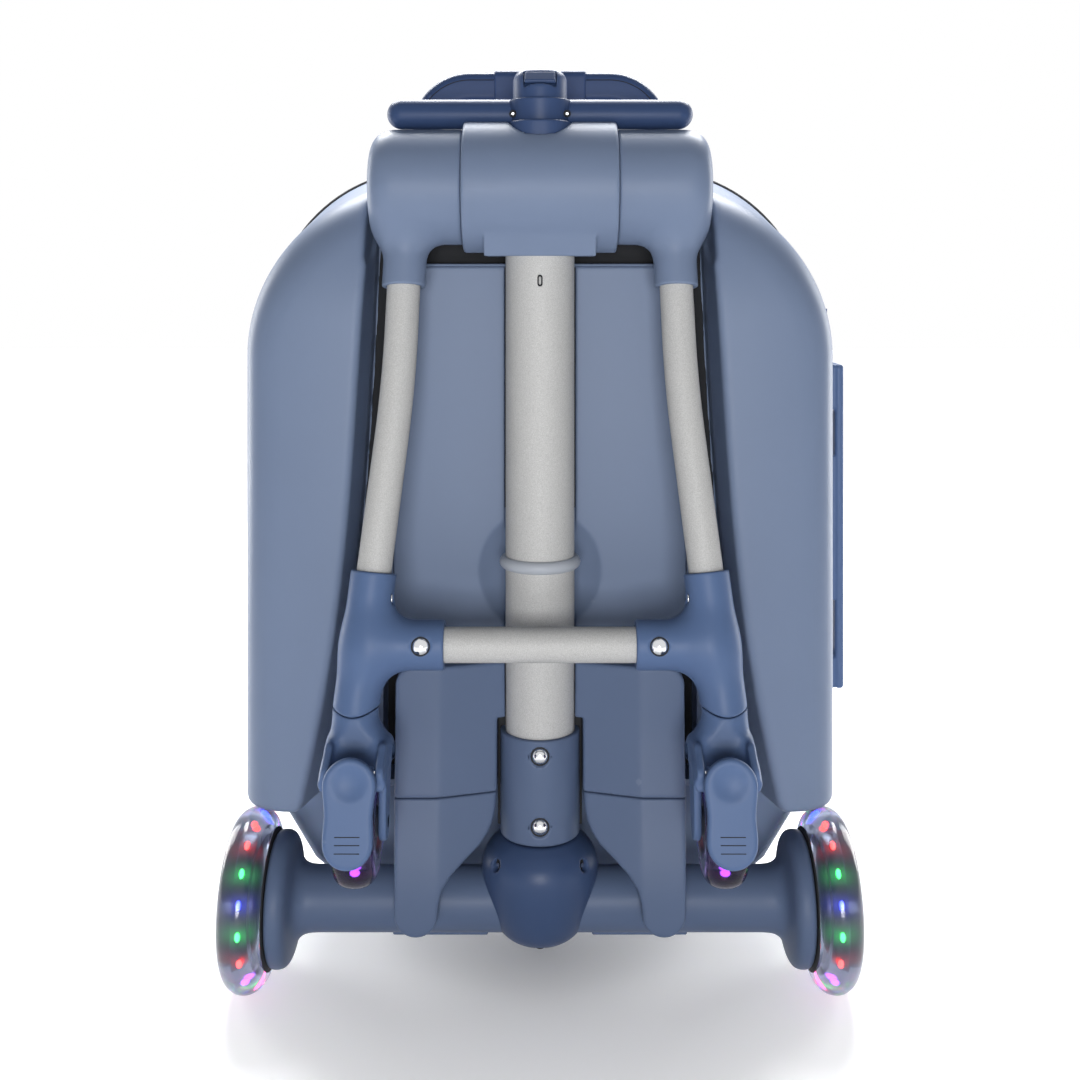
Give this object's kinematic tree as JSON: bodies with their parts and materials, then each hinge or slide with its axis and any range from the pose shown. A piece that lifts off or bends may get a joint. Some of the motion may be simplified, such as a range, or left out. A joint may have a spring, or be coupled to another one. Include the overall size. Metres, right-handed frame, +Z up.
{
  "type": "ride on suitcase",
  "caption": "Hard ride-on travel case for a child, with lit front wheels, a folding A-frame with small wheels, a sliding T-handle and carry handles.",
  "frame": {"origin": "on the ground, below the middle of the whole object's bounding box", "axes": "+X right seen from the pull side, +Y away from the pull side into the case, +Z up"},
  "size_m": [0.38, 0.2628, 0.5419],
  "materials": {
    "shell_plastic": "satin moulded plastic",
    "panel_plastic": "satin moulded plastic",
    "joint_plastic": "satin moulded plastic",
    "housing_plastic": "satin moulded plastic",
    "tube_metal": "bead blasted",
    "pin_metal": "polished",
    "ring_plastic": "satin",
    "dark_rubber": "matte",
    "dark_metal": "satin",
    "wheel_rubber": "clear, slightly smoky",
    "wheel_hub": "gloss",
    "light_ring": "glowing"
  },
  "bodies": {
    "case": {"back_shell": "shell_plastic", "recess_panel": "panel_plastic", "axle_saddle": "panel_plastic", "clamp_left": "panel_plastic", "clamp_right": "panel_plastic", "base_skirt": "shell_plastic", "rubber_feet": "dark_rubber", "seam_gasket": "dark_rubber", "lid_hinge_leaves": "dark_metal", "latch_bases": "joint_plastic", "handle_arms": "joint_plastic", "handle_grip": "joint_plastic", "side_handle": "joint_plastic", "barrel": "shell_plastic", "hinge_pins": "pin_metal", "barrel_bracket": "shell_plastic", "stem_bush": "joint_plastic", "pole_tube": "tube_metal", "pole_ring": "ring_plastic", "pole_socket": "joint_plastic", "socket_rivets": "pin_metal"},
    "lid": {"lid_shell": "shell_plastic", "lid_hinge_knuckles": "dark_metal"},
    "upper_latch": {"latch_lever_upper": "joint_plastic"},
    "lower_latch": {"latch_lever_lower": "joint_plastic"},
    "front_axle": {"steer_housing": "housing_plastic", "housing_screws": "pin_metal", "axle_beam": "shell_plastic", "axle_rod": "pin_metal"},
    "front_wheel_left": {"front_tyre_left": "wheel_rubber", "front_hub_left": "wheel_hub", "front_leds_left": "light_ring"},
    "front_wheel_right": {"front_tyre_right": "wheel_rubber", "front_hub_right": "wheel_hub", "front_leds_right": "light_ring"},
    "handlebar": {"stem_tube": "tube_metal", "bar_collar": "joint_plastic", "grip_bar": "joint_plastic", "collar_screws": "pin_metal"},
    "button": {"release_button": "joint_plastic"},
    "rear_frame": {"elbow_left": "shell_plastic", "elbow_right": "shell_plastic", "leg_tube_left": "tube_metal", "leg_tube_right": "tube_metal", "tee_left": "joint_plastic", "tee_right": "joint_plastic", "crossbar": "tube_metal", "tee_rivets": "pin_metal", "fork_left": "joint_plastic", "fork_right": "joint_plastic", "rear_axles": "pin_metal"},
    "rear_wheel_left": {"rear_tyre_left": "wheel_rubber", "rear_hub_left": "light_ring"},
    "rear_wheel_right": {"rear_tyre_right": "wheel_rubber", "rear_hub_right": "light_ring"},
    "pad_left": {"brake_pad_left": "joint_plastic"},
    "pad_right": {"brake_pad_right": "joint_plastic"}
  },
  "joints": [
    {"name": "frame_swing", "type": "hinge", "parent": "case", "child": "rear_frame", "pos_m": [-0.00301, -0.01864, 0.463], "axis": [-1, 0, 0], "range_deg": [0, 75]},
    {"name": "handle_slide", "type": "slide", "parent": "case", "child": "handlebar", "axis": [0, 0, 1], "range_m": [0, 0.28]},
    {"name": "button_press", "type": "slide", "parent": "handlebar", "child": "button", "axis": [0, 0, -1], "range_m": [0, 0.002], "stiffness_N_per_m": 400},
    {"name": "axle_steer", "type": "hinge", "parent": "case", "child": "front_axle", "pos_m": [-0.00301, -0.01864, 0.05], "axis": [0, 0, 1], "range_deg": [-4, 4], "stiffness_Nm_per_rad": 30},
    {"name": "front_spin_left", "type": "hinge", "parent": "front_axle", "child": "front_wheel_left", "pos_m": [-0.16601, -0.01864, 0.05], "axis": [1, 0, 0], "continuous": true},
    {"name": "front_spin_right", "type": "hinge", "parent": "front_axle", "child": "front_wheel_right", "pos_m": [0.15999, -0.01864, 0.05], "axis": [1, 0, 0], "continuous": true},
    {"name": "rear_spin_left", "type": "hinge", "parent": "rear_frame", "child": "rear_wheel_left", "pos_m": [-0.09901, -0.0888, 0.12419], "axis": [1, 0, 0], "continuous": true},
    {"name": "rear_spin_right", "type": "hinge", "parent": "rear_frame", "child": "rear_wheel_right", "pos_m": [0.09299, -0.0888, 0.12419], "axis": [1, 0, 0], "continuous": true},
    {"name": "pad_press_left", "type": "hinge", "parent": "rear_frame", "child": "pad_left", "pos_m": [-0.09901, -0.10956, 0.15708], "axis": [1, 0, 0], "range_deg": [0, 4.5], "stiffness_Nm_per_rad": 1.2},
    {"name": "pad_press_right", "type": "hinge", "parent": "rear_frame", "child": "pad_right", "pos_m": [0.09299, -0.10956, 0.15708], "axis": [1, 0, 0], "range_deg": [0, 4.5], "stiffness_Nm_per_rad": 1.2},
    {"name": "lid_swing", "type": "hinge", "parent": "case", "child": "lid", "pos_m": [-0.18601, 0.08636, 0.28], "axis": [0, 0, 1], "range_deg": [0, 110]},
    {"name": "upper_latch_swing", "type": "hinge", "parent": "case", "child": "upper_latch", "pos_m": [0.17949, 0.06936, 0.378], "axis": [0, 0, -1], "range_deg": [0, 80]},
    {"name": "lower_latch_swing", "type": "hinge", "parent": "case", "child": "lower_latch", "pos_m": [0.17949, 0.06936, 0.126], "axis": [0, 0, -1], "range_deg": [0, 80]}
  ]
}
